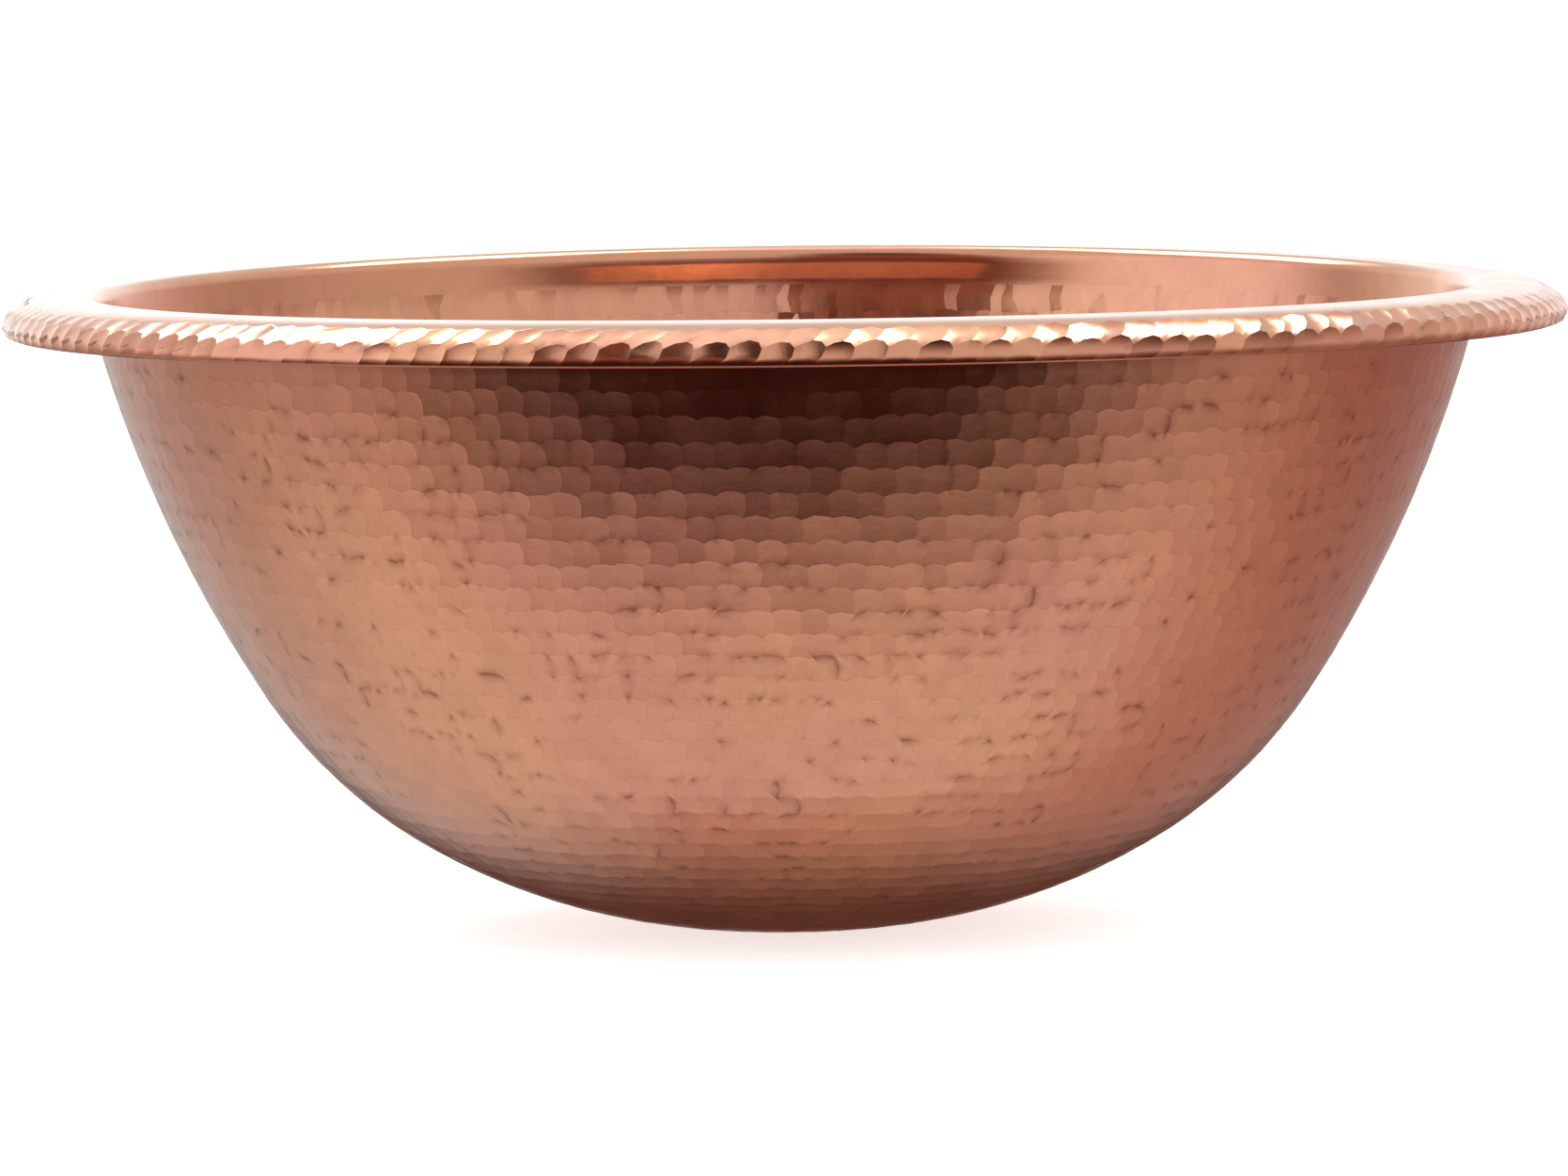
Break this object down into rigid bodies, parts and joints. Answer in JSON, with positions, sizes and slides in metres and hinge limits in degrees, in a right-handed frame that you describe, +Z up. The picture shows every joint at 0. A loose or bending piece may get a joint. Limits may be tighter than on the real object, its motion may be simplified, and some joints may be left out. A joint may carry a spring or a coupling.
{
  "type": "hammered copper bowl",
  "caption": "Deep round hammered copper bowl with a rounded bottom, a wide flat flange and a hammered lip turned down and wrapped round a hidden wire.",
  "frame": {"origin": "middle of the small flat on the underside that the bowl stands on, so at the bottom centre of its box", "axes": "+Z up along the bowl's axis towards its mouth; +X to the right and +Y to the back in the view that the bowl was seen from, though it is round and has no front of its own"},
  "size_m": [0.432, 0.4319, 0.178],
  "materials": {
    "copper": "raw copper, planished with small round hammer marks, satin to bright, no lacquer",
    "steel_wire": "plain drawn steel wire, closed inside the lip's curled edge"
  },
  "bodies": {
    "root": {"bowl_shell": "copper", "rim_wire": "steel_wire"}
  },
  "joints": []
}
